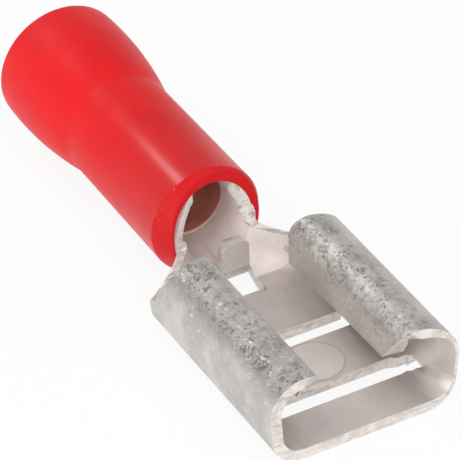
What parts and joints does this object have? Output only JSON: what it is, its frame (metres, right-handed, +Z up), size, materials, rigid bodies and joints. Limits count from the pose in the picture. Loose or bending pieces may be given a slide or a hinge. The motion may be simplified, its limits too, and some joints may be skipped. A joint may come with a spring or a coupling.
{
  "type": "female spade terminal",
  "caption": "Insulated female spade terminal: a rolled receptacle for a flat tab, with a raised bridge and a stop tongue, and a wire barrel in a belled plastic sleeve.",
  "frame": {"origin": "centre of the bounding box's underside, on the surface that the part lies on", "axes": "+X from the wire entry to the receptacle's mouth, +Y to the left-right side, +Z up, out of the receptacle's open side"},
  "size_m": [0.0226, 0.0074, 0.0051],
  "materials": {
    "strip": "tin-plated brass, satin, scuffed and pitted outside",
    "insulation": "smooth moulded PVC, slightly translucent"
  },
  "bodies": {
    "root": {"terminal": "strip", "sleeve": "insulation"}
  },
  "joints": []
}
